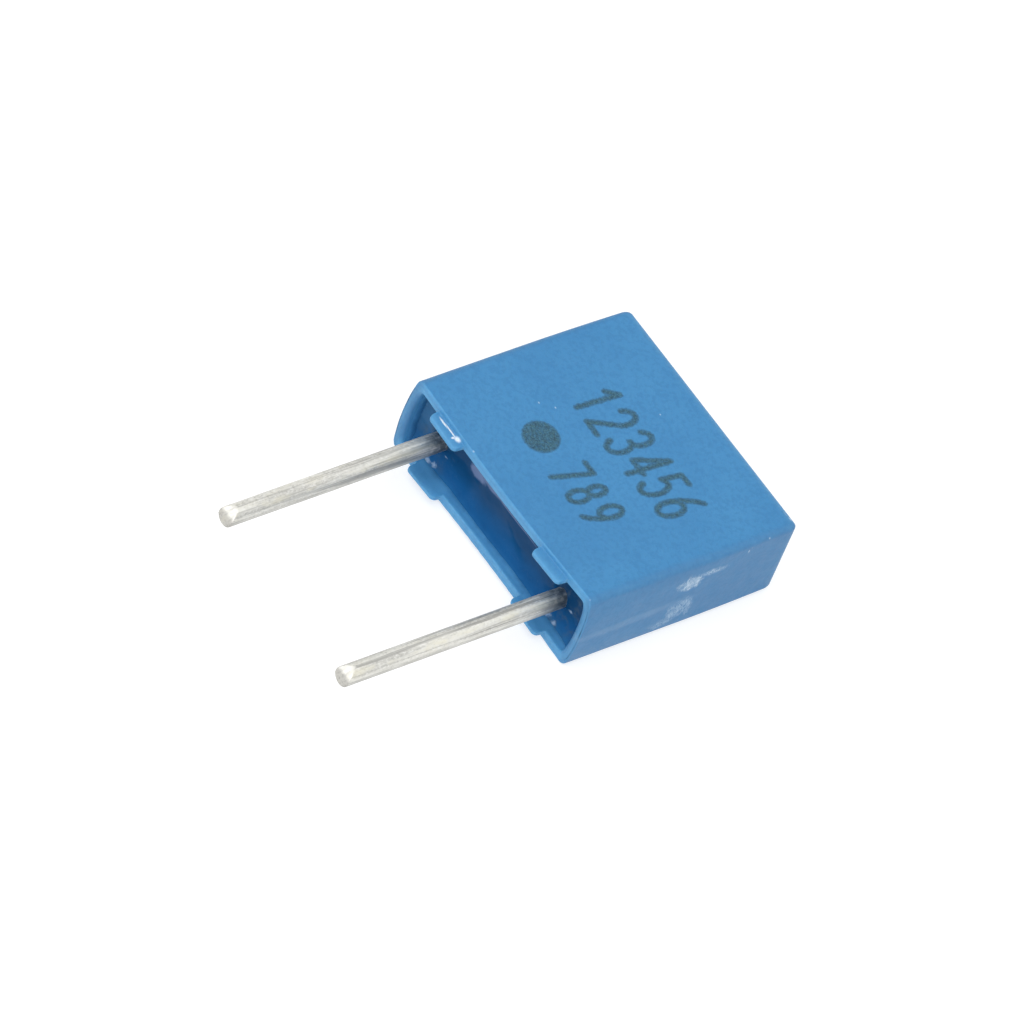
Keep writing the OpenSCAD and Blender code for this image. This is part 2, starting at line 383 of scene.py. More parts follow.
def resin():
    t = Tree("seal_resin")
    n1 = t.noise(1.3, 3.0, 0.5, offset=(4, 0, 2))
    n2 = t.noise(6.0, 4.0, 0.6)
    # lighter blue towards the lower wall, dark navy under the upper wall: painted reflection of the lit lower wall
    # and painted shade under the upper one
    low = t.ramp(t.add(t.z, t.mul(t.m("SUBTRACT", n1, 0.5), 0.5)), -0.85, 0.02, 1.0, 0.0)
    base = t.mix(low, (0.003, 0.043, 0.125), (0.009, 0.092, 0.265))
    # painted light: bright blue along the bottom edge, against the lower wall
    base = t.mix(t.ramp(t.add(t.z, t.mul(t.m("SUBTRACT", n2, 0.5), 0.12)), -0.96, -0.70, 0.75, 0.0), base, (0.028, 0.165, 0.385))
    base = t.mix(t.mul(t.ramp(n2, 0.45, 0.75), 0.12), base, (0.006, 0.022, 0.070))
    # painted light: lighter blue towards the left end, more so higher up
    base = t.mix(t.mul(t.ramp(t.add(t.x, t.mul(t.m("SUBTRACT", n1, 0.5), 0.4)), -3.30, -2.65, 0.85, 0.0), t.ramp(t.z, -0.9, 0.2, 0.35, 1.0)),
                 base, (0.040, 0.150, 0.310))
    # painted reflection: whitish patches and a thin whitish line across the resin
    wv = t.mul(t.m("SUBTRACT", t.noise(5.0, 3.0, 0.6, offset=(1, 1, 6)), 0.5), 1.3)
    pale = t.m("MAXIMUM", t.spot((-1.24, 0.6, 0.17), (0.27, 2.0, 0.14), 0.35, wv),
               t.mul(t.spot((-0.72, 0.6, 0.26), (0.50, 2.0, 0.085), 0.4, wv), 0.9))
    pale = t.m("MAXIMUM", pale, t.mul(t.spot((0.15, 0.6, 0.235), (0.95, 2.0, 0.020), 0.6, t.mul(wv, 0.35)), 0.9))
    base = t.mix(t.mul(pale, 0.58), base, (0.20, 0.26, 0.44))
    # painted glints on the resin
    resin_glint = None
    for c, r in RESIN_GLINTS:
        q = t.spot(c, r, 0.85, t.mul(t.m("SUBTRACT", t.noise(16.0, 3.0, 0.6), 0.5), 2.6))
        resin_glint = q if resin_glint is None else t.m("MAXIMUM", resin_glint, q)
    # painted reflection of the wires: greyish blotches in the resin around them
    ends = t.ramp(t.m("ABSOLUTE", t.m("SUBTRACT", t.m("ABSOLUTE", t.x), 2.75)), 0.15, 0.85, 1.0, 0.0)
    wire_reflection = t.mul(ends, t.ramp(t.noise(3.4, 4.0, 0.6, offset=(7, 3, 1)), 0.45, 0.72))
    base = t.mix(t.mul(wire_reflection, 0.50), base, (0.070, 0.105, 0.135))
    base = t.mix(t.mul(resin_glint, 0.55), base, (0.46, 0.60, 0.78))
    t.set(Base_Color=base, IOR=1.45, Roughness=t.add(t.ramp(n2, 0.3, 0.75, 0.10, 0.22), t.mul(low, 0.12)))
    t.bsdf.inputs["Specular IOR Level"].default_value = 0.12
    t.bsdf.inputs["Specular Tint"].default_value = (0.30, 0.58, 1.0, 1.0)
    t.bump(t.add(t.mul(n2, 2.0), t.mul(n1, 8.0), t.mul(t.noise(28.0, 2.0, 0.5), 0.3)))
    return t.mat


def tinned():
    t = Tree("tinned_wire")
    a = t.noise(8.0, 4.0, 0.6, stretch=(1.0, 0.05, 1.0))
    b = t.noise(34.0, 4.0, 0.65, stretch=(1.0, 0.06, 1.0), offset=(2, 2, 2))
    c = t.noise(2.4, 4.0, 0.6, stretch=(1.4, 0.6, 1.4), offset=(6, 1, 4))
    g = t.noise(20.0, 4.0, 0.65, stretch=(1.0, 0.6, 1.0))
    base = t.mix(t.ramp(a, 0.36, 0.64), (0.66, 0.655, 0.615), (0.86, 0.855, 0.805))
    base = t.mix(t.mul(t.ramp(c, 0.48, 0.68), 0.42), base, (0.80, 0.775, 0.66))
    base = t.mix(t.mul(t.ramp(b, 0.55, 0.70), 0.55), base, (0.44, 0.435, 0.42))
    base = t.mix(t.mul(t.ramp(g, 0.50, 0.64), 0.6), base, (0.93, 0.925, 0.90))
    base = t.mix(t.mul(t.ramp(g, 0.32, 0.47, 1.0, 0.0), 0.5), base, (0.44, 0.435, 0.41))
    e = t.noise(15.0, 2.0, 0.5, stretch=(1.0, 0.018, 1.0), offset=(8, 3, 5))
    base = t.mix(t.mul(t.ramp(e, 0.54, 0.60), t.ramp(a, 0.3, 0.5, 0.35, 0.70)), base, (0.40, 0.395, 0.375))
    e2 = t.noise(11.0, 2.0, 0.5, stretch=(1.0, 0.02, 1.0), offset=(1, 6, 9))
    base = t.mix(t.mul(t.ramp(e2, 0.52, 0.60), 0.4), base, (0.94, 0.935, 0.88))
    # dark lines that run the whole length: thin ones partly drawing marks and partly painted shade, and a broad band
    # of painted shade along the lower side
    off = t.m("SUBTRACT", t.x, t.mul(t.m("SIGN", t.x), LEAD_X))
    s = t.add(t.mul(off, 0.865 / LEAD_R), t.mul(t.z, -0.501 / LEAD_R), t.mul(t.m("SUBTRACT", a, 0.5), 0.30))
    for s0, wd, amt in ((1.0, 0.48, 0.64), (-0.50, 0.08, 0.36), (-0.98, 0.10, 0.40), (0.42, 0.06, 0.35)):
        ln = t.ramp(t.m("ABSOLUTE", t.m("SUBTRACT", s, s0)), 0.0, wd, amt, 0.0)
        base = t.mix(t.mul(ln, t.ramp(c, 0.32, 0.58, 0.60, 1.0)), base, (0.33, 0.33, 0.315))
    # painted highlight: a yellowish light band along the wire
    warm = t.mul(t.ramp(t.m("ABSOLUTE", t.m("SUBTRACT", s, 0.12)), 0.0, 0.42, 1.0, 0.0), t.ramp(c, 0.42, 0.60))
    base = t.mix(t.mul(warm, 0.45), base, (0.86, 0.83, 0.68))
    # dull and blotched where the wire comes out of the resin: resin wetting, with painted shade near the case
    wet_and_shade = t.mul(t.ramp(t.y, -0.25, 0.55), t.ramp(t.noise(6.5, 4.0, 0.65, offset=(3, 7, 1)), 0.34, 0.60, 0.25, 1.0))
    base = t.mix(t.mul(wet_and_shade, 0.80), base, (0.10, 0.145, 0.175))
    # the cut ends get their own colour, darker towards the bottom: painted shade on the lower facet
    cut = t.attr("cut")
    base = t.mix(t.mul(cut, 0.65), base, t.mix(t.ramp(t.z, 0.02, 0.13), (0.50, 0.49, 0.46), (0.90, 0.89, 0.85)))
    t.set(Base_Color=base, Metallic=1.0,
          Roughness=t.add(t.ramp(a, 0.3, 0.7, 0.50, 0.62), t.ramp(g, 0.3, 0.7, -0.06, 0.06), t.mul(cut, 0.1)))
    t.bump(t.add(t.mul(a, 5.0), t.mul(b, 2.2), t.mul(c, 6.0), t.mul(g, 2.6),
                 t.mul(cut, t.noise(26.0, 3.0, 0.6, stretch=(1, 1, 0.3)), 5.0)))
    return t.mat


def film(name, ca, cb, layers):
    t = Tree(name)
    band = t.m("SINE", t.mul(t.add(t.z, t.mul(t.noise(1.5, 2.0), 0.02)), layers))
    n = t.noise(2.5, 3.0, 0.6, stretch=(0.3, 1, 6))
    base = t.mix(t.ramp(t.add(t.mul(band, 0.25), n), 0.2, 0.8), ca, cb)
    t.set(Base_Color=base, Metallic=0.2, Roughness=t.ramp(n, 0.3, 0.7, 0.32, 0.5))
    t.bump(t.add(t.mul(band, 1.2), t.mul(n, 2.0)))
    return t.mat


def sprayed():
    t = Tree("sprayed_metal")
    v = t.voronoi(16.0)
    n = t.noise(24.0, 4.0, 0.65)
    base = t.mix(t.ramp(t.add(v, n), 0.4, 1.2), lin(120, 120, 118), lin(176, 177, 178))
    t.set(Base_Color=base, Metallic=0.85, Roughness=t.ramp(n, 0.3, 0.7, 0.5, 0.75))
    t.bump(t.add(t.mul(v, 18.0), t.mul(n, 9.0)))
    return t.mat


BLUE_A, BLUE_B = (0.034, 0.204, 0.438), (0.040, 0.222, 0.462)
BLUE_L, BLUE_D = (0.062, 0.262, 0.515), (0.024, 0.165, 0.372)
BLUE_IN = (0.100, 0.350, 0.650)
EDGE_C = (0.105, 0.350, 0.600)
HAZE_SHEEN_C = (0.105, 0.195, 0.340)
SCUFF_AND_SHEEN_C = (0.450, 0.580, 0.710)
NICK_SPARKLE_C = (0.72, 0.84, 0.92)
# centre and half size of the small bright nicks and specks, some of them painted sparkles of light, mm
NICKS_AND_SPARKLES = [
    ((-0.53, 5.25, 1.1), (0.022, 0.018, 0.3)), ((-1.65, 2.95, 1.05), (0.026, 0.018, 0.3)),
    ((-1.92, 2.65, 1.05), (0.028, 0.018, 0.3)),
    ((3.47, 0.33, 1.10), (0.030, 0.020, 0.05)), ((-1.31, 0.33, 1.05), (0.035, 0.020, 0.04)),
    ((-3.40, 0.33, 1.12), (0.028, 0.020, 0.04)), ((3.25, 6.41, 1.08), (0.06, 0.05, 0.05)), ((3.10, 6.37, 1.08), (0.09, 0.022, 0.05)),
    ((3.44, 5.20, 1.07), (0.06, 0.030, 0.045)), ((3.50, 5.12, 0.98), (0.05, 0.020, 0.050)),
    ((3.55, 5.05, 0.89), (0.05, 0.020, 0.045)), ((3.50, 5.62, 1.07), (0.05, 0.022, 0.022)),
]
# painted glints on the resin: centre and half size, mm
RESIN_GLINTS = [((-2.62, 0.60, -0.86), (0.085, 0.16, 0.050)), ((-2.44, 0.60, -0.80), (0.060, 0.16, 0.036)),
         ((2.30, 0.60, -0.80), (0.075, 0.16, 0.055)), ((2.58, 0.60, -0.84), (0.055, 0.16, 0.036)),
         ((-2.28, 0.60, -0.40), (0.050, 0.16, 0.022)), ((2.84, 0.70, -0.19), (0.050, 0.16, 0.036)),
         ((-2.90, 0.60, -0.62), (0.040, 0.16, 0.040))]
# painted glints, near-white spots where the tab roots catch the light: centre and half size, mm
GLINTS = [((-1.82, 0.25, 0.95), (0.085, 0.060, 0.06)), ((-1.90, 0.17, 0.95), (0.030, 0.040, 0.06)),
          ((-2.36, 0.21, 0.95), (0.16, 0.026, 0.08)), ((-2.10, 0.235, 0.95), (0.20, 0.020, 0.08))]
# thin ridges at the tab roots, with a painted highlight: centre and half size, mm
RIDGE_GLINTS = [((-2.34, 0.21, 0.95), (0.14, 0.020, 0.08)), ((-2.08, 0.235, 0.95), (0.20, 0.016, 0.08))]

M_CASE, M_RESIN, M_TIN = case_plastic(), resin(), tinned()


# ---------------------------------------------------------------- case
def axis_samples(core, flat_end, nflat, nround):
    """(coordinate, u) along one axis: core points, then the rounding."""
    e = core[-1]
    pos = [(c, 0.0) for c in core]
    pos += [(e + (flat_end - e) * (1 - (1 - k / nflat) ** 2.0), 0.0) for k in range(1, nflat + 1)]
    pos += [(flat_end, math.tan(k / nround * PI / 4)) for k in range(1, nround + 1)]
    neg = [(-c, -u) for c, u in reversed(pos) if not (abs(c) < 1e-9 and u == 0)]
    return neg + pos


def xcore():
    xs = set()

    def put(v):
        xs.add(round(v, 5))
    for v in np.linspace(0, SO_X - SO_W / 2 - 0.16, 9):
        put(v)
    x0, x1 = SO_X - SO_W / 2, SO_X + SO_W / 2
    for d in (0.12, 0.07, 0.035, 0.012, 0.0):
        put(x0 - d)
        put(x1 + d)
    for k in range(0, 8):
        d = SO_R * (1 - math.cos(k / 7 * PI / 2)) + 0.004
        put(x0 + d)
        put(x1 - d)
    for v in np.linspace(x0 + SO_R + 0.06, x1 - SO_R - 0.06, 7):
        put(v)
    for v in (2.85, 3.0, 3.1):
        put(v)
    for v in np.arange(0, 2.5, 0.045):
        if min(abs(v - w) for w in xs) > 0.012:
            put(v)
    return sorted(v for v in xs if v >= 0)


def tab_h(x):
    d = np.abs(np.abs(x) - SO_X) - (SO_W / 2 - SO_R)
    h = np.where(d <= 0, RIM, RIM - SO_R
                 + np.sqrt(np.clip(SO_R ** 2 - np.clip(d, 0, SO_R) ** 2, 0, None)))
    return np.where(d > SO_R + 1e-6, 0.0, h)


class Shell:
    """Five faces of a rounded box, open towards -Y, as one lattice."""

    def __init__(self, xs, ys, zs, r):
        self.xs, self.ys, self.zs, self.r = xs, ys, zs, r
        self.nx, self.ny, self.nz = len(xs) - 1, len(ys) - 1, len(zs) - 1
        self.idx, self.pos, self.edge, self.faces = {}, [], [], []

    def v(self, i, j, k):
        key = (i, j, k)
        if key not in self.idx:
            cx, ux = self.xs[i]
            cy, uy = self.ys[j]
            cz, uz = self.zs[k]
            u = np.array([ux, uy, uz], float)
            if i in (0, self.nx):
                u[0] = -1 if i == 0 else 1
            if k in (0, self.nz):
                u[2] = -1 if k == 0 else 1
            if j == self.ny:
                u[1] = 1
            self.edge.append(sorted(np.abs(u))[1])
            u = u / np.linalg.norm(u)
            self.idx[key] = len(self.pos)
            self.pos.append((cx + self.r[0] * u[0], cy + self.r[1] * u[1], cz + self.r[2] * u[2]))
        return self.idx[key]

    def build(self):
        nx, ny, nz, v, f = self.nx, self.ny, self.nz, self.v, self.faces
        for j in range(ny):
            for i in range(nx):
                f.append((v(i, j, nz), v(i + 1, j, nz), v(i + 1, j + 1, nz), v(i, j + 1, nz)))
                f.append((v(i + 1, j, 0), v(i, j, 0), v(i, j + 1, 0), v(i + 1, j + 1, 0)))
            for k in range(nz):
                f.append((v(nx, j, k), v(nx, j + 1, k), v(nx, j + 1, k + 1), v(nx, j, k + 1)))
                f.append((v(0, j, k + 1), v(0, j + 1, k + 1), v(0, j + 1, k), v(0, j, k)))
        for i in range(nx):
            for k in range(nz):
                f.append((v(i, ny, k), v(i, ny, k + 1), v(i + 1, ny, k + 1), v(i + 1, ny, k)))
        return self

    def loop_keys(self, j=0):
        nx, nz = self.nx, self.nz
        return [(i, j, nz) for i in range(nx)] + [(nx, j, k) for k in range(nz, 0, -1)] \
            + [(i, j, 0) for i in range(nx, 0, -1)] + [(0, j, k) for k in range(nz)]

    def loop(self):
        L = self.loop_keys()
        return [self.v(*t) for t in L], L


def case_mesh():
    re, ri = 0.035, 0.03
    xc = xcore()
    zc = [0, 0.12, 0.24, 0.36, 0.48, 0.6, 0.7]
    a, b, rx, ry, rz = HL, HT, 0.16, 0.26, 0.16
    ys = [(RIM + re, 0)] + [(RIM + re + v, 0) for v in (0.02, 0.06, 0.12, 0.2, 0.3)] \
        + [(v, 0) for v in (0.85, 1.05, 1.25, 1.4)] + [(v, 0) for v in np.linspace(1.5, 4.85, 76)] \
        + [(v, 0) for v in np.linspace(5.05, TOP - ry - 0.3, 6)] \
        + [(TOP - ry - v, 0) for v in (0.2, 0.12, 0.05, 0.0)] \
        + [(TOP - ry, math.tan(k / 6 * PI / 4)) for k in range(1, 7)]
    so = Shell(axis_samples(xc, a - rx, 4, 6), ys, axis_samples(zc, b - rz, 5, 6), (rx, ry, rz)).build()
    ai, bi, r2 = HL - WALL, HT - WALL, 0.05
    y_in = 0.17
    yi = [(RIM + y_in, 0)] + [(RIM + y_in + v, 0) for v in (0.04, 0.1, 0.18, 0.28, 0.4, 0.55)] \
        + [(v, 0) for v in np.linspace(1.2, FLOOR - 0.4, 8)] + [(FLOOR - 0.2, 0)] \
        + [(FLOOR - 0.2, math.tan(k / 6 * PI / 4)) for k in range(1, 7)]
    si = Shell(axis_samples(xc, ai - r2, 4, 6), yi, axis_samples(zc, bi - r2, 5, 6), (r2, 0.2, r2)).build()
    Vo, Vi = warp_out(np.array(so.pos)), warp_in(np.array(si.pos))
    lo, Lo = so.loop()
    li, Li = si.loop()
    n = len(lo)
    base_i = len(Vo)
    F = [tuple(f) for f in so.faces] + [tuple(base_i + q for q in reversed(f)) for f in si.faces]
    Po, Pi = Vo[lo], Vi[li]
    w = np.linalg.norm((Pi - Po)[:, [0, 2]], axis=1)
    d = (Pi - Po).copy()
    d[:, 1] = 0
    d /= w[:, None]
    ri = ri + 0.095 * d[:, 0] ** 4
    sq = 1 - 0.62 * d[:, 0] ** 4         # the steps of the standoffs close up on the narrow walls
    h = np.zeros(n)
    for q, t in enumerate(Lo):
        if t[2] in (0, so.nz) and 0 < t[0] < so.nx and so.xs[t[0]][1] == 0:
            h[q] = tab_h(np.array(so.xs[t[0]][0]))
    # moulding flash and small nibbles: the rim's outer edge isn't quite even
    arc = np.arange(n)
    reo = re * (1 + 0.25 * wob(arc, 3.0, 0.35))
    rows = []

    def row(s, y, e, rm):
        rows.append((np.broadcast_to(s, (n,)).astype(float), np.broadcast_to(y, (n,)).astype(float), e, rm))
    for th, e in ((30, 0.6), (60, 0.9), (90, 1.0)):
        row(reo * (1 - math.cos(math.radians(th))), reo * (1 - math.sin(math.radians(th))) - (reo - re) * 0, e, 0.7)
    row((SO_S - 0.06) * sq, 0.0, 0.55, 1.0)
    row((SO_S - 0.03) * sq, 0.0, 0.35, 1.0)
    row((SO_S - 0.012) * sq, -np.minimum(h, 0.006), 0.2, 0.8)
    row((SO_S - 0.002) * sq, -np.minimum(h, 0.022), 0.1, 0.7)
    row((SO_S + 0.002) * sq, -np.minimum(h, 0.05), 0.1, 0.6)
    rt = 0.06
    row((SO_S + 0.004) * sq, -np.maximum(h - rt, 0) * 0.6 - np.minimum(h, 0.05) * 0.4, 0.2, 0.6)
    for th, e in ((0, 0.4), (25, 0.7), (50, 1.0), (75, 1.0), (90, 0.8)):
        row((SO_S + 0.005 + rt * (1 - math.cos(math.radians(th)))) * sq,
            -np.where(h > 0, h - rt + rt * math.sin(math.radians(th)), 0), e, 0.9)
    row(w - ri - 0.012, -h, 0.6, 1.0)
    # on the narrow walls the rim's inner rounding gets less edge value and a rim value below zero, which the case
    # material paints darker as shade
    nw = d[:, 0] ** 4
    for th, e, dk in ((90, 0.8, 0.5), (60, 1.0, 1.1), (30, 0.9, 1.4), (0, 0.6, 1.4)):
        row(w - ri + ri * math.cos(math.radians(th)), -h + ri * (1 - math.sin(math.radians(th))),
            e * (1 - 0.9 * nw), 0.8 - dk * nw)
    row(w, (-h + ri) * 0.55 + y_in * 0.45, 0.2 * (1 - nw), 0.1 - 0.5 * nw)
    rowv, extra = [], []
    ed = [np.array(so.edge) * 0.9, np.zeros(len(Vi))]
    rm = [np.zeros(len(Vo)), np.zeros(len(Vi))]
    inn = [np.zeros(len(Vo)), np.ones(len(Vi))]
    cur = base_i + len(Vi)
    for q, (s, y, e, r_) in enumerate(rows):
        P = Po + d * s[:, None]
        P[:, 1] = RIM + y
        extra.append(P)
        rowv.append(list(range(cur, cur + n)))
        ed.append(np.full(n, e))
        rm.append(np.full(n, r_))
        inn.append(np.full(n, 0.0 if q < len(rows) - 2 else 0.5))
        cur += n
    chain = [lo] + rowv + [[base_i + q for q in li]]
    for A, B in zip(chain[:-1], chain[1:]):
        for q in range(n):
            r = (q + 1) % n
            F.append((A[q], B[q], B[r], A[r]))
    V = np.vstack([Vo, Vi] + extra)
    return V, F, {"edge": np.concatenate(ed), "rim": np.concatenate(rm), "inner": np.concatenate(inn)}


# ---------------------------------------------------------------- resin
HOLE_R = LEAD_R - 0.0035


def resin_y(x, z):
    """Free surface of the resin: hollow, crept up the walls and the wires."""
    hx, hz = half_in(x, np.full_like(x, 0.6), z)
    dz, dx = np.clip(hz - np.abs(z), 0, None), np.clip(hx - np.abs(x), 0, None)
    up = z > 0
    creep = np.where(up, 0.19 + 0.05 * wob(x, 1.0, 0.8), 0.17 + 0.03 * wob(x, 5.0, 0.7))
    lam = np.where(up, 0.085, 0.15)
    y = RIM + 0.43 + 0.012 * wob(x * 1.3 + z * 2.1, 2.0) + 0.008 * wob(z * 3 - x, 7.0)
    y = y - creep * np.exp(-dz / lam) - (0.05 + 0.02 * wob(z, 4.0, 2.0)) * np.exp(-dx / 0.12)
    for s in (-1, 1):
        rr = np.hypot(x - s * LEAD_X, z)
        y = y - (0.13 + 0.03 * np.sin(2.0 * np.arctan2(z, x - s * LEAD_X) + s)) * np.exp(-np.clip(rr - HOLE_R, 0, None) / 0.075)
    for bx, bz, br, bh in BUBBLES:
        q = np.hypot(x - bx, z - bz) / br
        y = y - bh * np.clip(1 - q * q, 0, None) ** 1.5
    return y


BUBBLES = [(2.98, -0.10, 0.10, 0.05), (3.10, -0.32, 0.09, 0.05), (3.02, 0.22, 0.06, 0.035),
           (-2.05, -0.28, 0.07, 0.04), (-2.02, -0.52, 0.05, 0.03), (-1.80, -0.30, 0.045, 0.03),
           (2.05, -0.55, 0.06, 0.03), (-2.95, 0.35, 0.07, 0.03)]


def resin_mesh():
    nh = 10
    rings = [HOLE_R, 0.256, 0.28, 0.32, 0.38, 0.46, 0.56, 0.665]
    inner = [HOLE_R * math.tan(k / (nh / 2) * PI / 4) for k in range(-nh // 2, nh // 2 + 1)]
    around = [-v for v in reversed(rings[1:])] + inner + rings[1:]
    xpos = list(np.linspace(0, LEAD_X - 0.665 - 0.06, 22)) + [LEAD_X + v for v in around]
    zpos = [v for v in inner if v >= -1e-9] + rings[1:]
    R = 0.665
    nr, r2 = 6, 0.05
    ai, bi = HL - WALL - r2 + 0.01, HT - WALL - r2
    fx = lambda u: (ai, u)

    def axis(core, flat_end):
        pos = [(min(c, flat_end), 0.0) for c in core]
        pos += [(flat_end, math.tan(k / nr * PI / 4)) for k in range(1, nr + 1)]
        neg = [(-c, -u) for c, u in reversed(pos) if not (abs(c) < 1e-9 and u == 0)]
        return neg + pos

    def inner_axis(core, ext):
        pos = list(core) + [core[-1] + (ext - core[-1]) * k / nr for k in range(1, nr + 1)]
        return [-c for c in reversed(pos) if abs(c) > 1e-9] + pos
    # the wall lattice squeezes its last lines so that they stay on the flat
    sx = ai / (LEAD_X + R) if LEAD_X + R > ai else 1.0
    xs = axis([c * min(1.0, sx) for c in xpos], ai)
    zs = axis([c * min(1.0, bi / 0.70) for c in zpos], bi)
    xi, zi = inner_axis(xpos, 3.235), inner_axis(zpos, 0.715)
    ys = [(v, 0) for v in (0.95, 1.3, 2.2, 3.4, 4.6, 5.4)] + [(FLOOR - 0.2, 0)] \
        + [(FLOOR - 0.2, math.tan(k / nr * PI / 4)) for k in range(1, nr + 1)]
    sh = Shell(xs, ys, zs, (r2 - 0.01 + 0.0015, 0.2, r2 + 0.0015)).build()
    V = [tuple(p) for p in warp_in(np.array(sh.pos))]
    F = [tuple(f) for f in sh.faces]
    lo, Lo = sh.loop()
    n = len(lo)
    nom = np.array([sh.pos[q] for q in lo])
    # inner lattice with round holes
    nx, nz = len(xi) - 1, len(zi) - 1
    X, Z = np.meshgrid(np.array(xi), np.array(zi), indexing="ij")
    PX, PZ = X.copy(), Z.copy()
    for s in (-1, 1):
        dx, dz = X - s * LEAD_X, Z
        m = np.maximum(np.abs(dx), np.abs(dz))
        rr = np.hypot(dx, dz)
        near = (m <= R + 1e-9) & (m >= HOLE_R - 1e-9)
        # directions measured so that ring points are evenly spread
        wgt = 1 - sstep(HOLE_R, R, m)
        cx = s * LEAD_X + dx * np.where(rr > 0, m / np.maximum(rr, 1e-9), 1)
        cz = dz * np.where(rr > 0, m / np.maximum(rr, 1e-9), 1)
        PX = np.where(near, wgt * cx + (1 - wgt) * X, PX)
        PZ = np.where(near, wgt * cz + (1 - wgt) * Z, PZ)
    hole = np.zeros((nx, nz), bool)
    cxm, czm = (X[:-1, :-1] + X[1:, 1:]) / 2, (Z[:-1, :-1] + Z[1:, 1:]) / 2
    for s in (-1, 1):
        hole |= (np.abs(cxm - s * LEAD_X) < HOLE_R) & (np.abs(czm) < HOLE_R)
    used = {}

    def grid(keyname, PXa, PZa, Ya, skip, sel, flip):
        ids = {}
        for i in range(nx):
            for k in range(nz):
                if skip[i, k] or not sel[i, k]:
                    continue
                q = []
                for a, b in ((i, k), (i + 1, k), (i + 1, k + 1), (i, k + 1)):
                    if (a, b) not in ids:
                        ids[(a, b)] = len(V)
                        V.append((PXa[a, b], Ya[a, b], PZa[a, b]))
                    q.append(ids[(a, b)])
                F.append(tuple(reversed(q)) if flip else tuple(q))
        used[keyname] = ids
    allc = np.ones((nx, nz), bool)
    Y = resin_y(PX, PZ)
    grid("top", PX, PZ, Y, hole, allc, False)
    # strips from the wall to the inner lattice
    loop_in = [used["top"][(i, k)] for (i, j, k) in Lo]
    Pin = np.array([V[q] for q in loop_in])
    contact = warp_in(np.stack([nom[:, 0], np.full(n, 0.55), nom[:, 2]], 1))
    prev = None
    chain = [lo]
    yc = resin_y(contact[:, 0], contact[:, 2])
    for f in (0.5, 0.0):
        P = warp_in(np.stack([nom[:, 0], yc * (1 - f) + 0.95 * f, nom[:, 2]], 1))
        st = len(V)
        V.extend(tuple(p) for p in P)
        chain.append(list(range(st, st + n)))
    Pc = np.array([V[q] for q in chain[-1]])
    for t in (0.06, 0.13, 0.21, 0.31, 0.43, 0.57, 0.72, 0.86):
        P = Pc * (1 - t) + Pin * t
        P[:, 1] = resin_y(P[:, 0], P[:, 2])
        st = len(V)
        V.extend(tuple(p) for p in P)
        chain.append(list(range(st, st + n)))
    chain.append(loop_in)
    for A, B in zip(chain[:-1], chain[1:]):
        for q in range(n):
            r = (q + 1) % n
            F.append((A[q], B[q], B[r], A[r]))
    # space for the capacitor element, joined to the two wire holes
    bx, bz, y0, y1 = LEAD_X + 0.256, 0.665, 1.235, 5.86
    sel = (np.abs(cxm) < bx) & (np.abs(czm) < bz)
    QX, QZ = X.copy(), Z.copy()
    for s in (-1, 1):
        dx, dz = X - s * LEAD_X, Z
        ring = np.abs(np.maximum(np.abs(dx), np.abs(dz)) - HOLE_R) < 1e-6
        rr = np.maximum(np.hypot(dx, dz), 1e-9)
        QX = np.where(ring, s * LEAD_X + dx * HOLE_R / rr, QX)
        QZ = np.where(ring, dz * HOLE_R / rr, QZ)
    grid("box0", QX, QZ, np.full_like(X, y0), hole, sel, True)
    grid("box1", X, Z, np.full_like(X, y1), np.zeros_like(hole), sel, False)
    i0, i1 = [int(np.argmin(np.abs(np.array(xi) - v))) for v in (-bx, bx)]
    k0, k1 = [int(np.argmin(np.abs(np.array(zi) - v))) for v in (-bz, bz)]
    bl = [(i, k1) for i in range(i0, i1)] + [(i1, k) for k in range(k1, k0, -1)] \
        + [(i, k0) for i in range(i1, i0, -1)] + [(i0, k) for k in range(k0, k1)]
    A, B = [used["box0"][t] for t in bl], [used["box1"][t] for t in bl]
    for q in range(len(bl)):
        r = (q + 1) % len(bl)
        F.append((A[q], A[r], B[r], B[q]))
    for s in (-1, 1):
        ic = [int(np.argmin(np.abs(np.array(xi) - (s * LEAD_X + v)))) for v in (-HOLE_R, HOLE_R)]
        kc = [int(np.argmin(np.abs(np.array(zi) - v))) for v in (-HOLE_R, HOLE_R)]
        hl_ = [(i, kc[1]) for i in range(ic[0], ic[1])] + [(ic[1], k) for k in range(kc[1], kc[0], -1)] \
            + [(i, kc[0]) for i in range(ic[1], ic[0], -1)] + [(ic[0], k) for k in range(kc[0], kc[1])]
        A, B = [used["top"][t] for t in hl_], [used["box0"][t] for t in hl_]
        for q in range(len(hl_)):
            r = (q + 1) % len(hl_)
            F.append((A[q], B[q], B[r], A[r]))
    return np.array(V, float), F


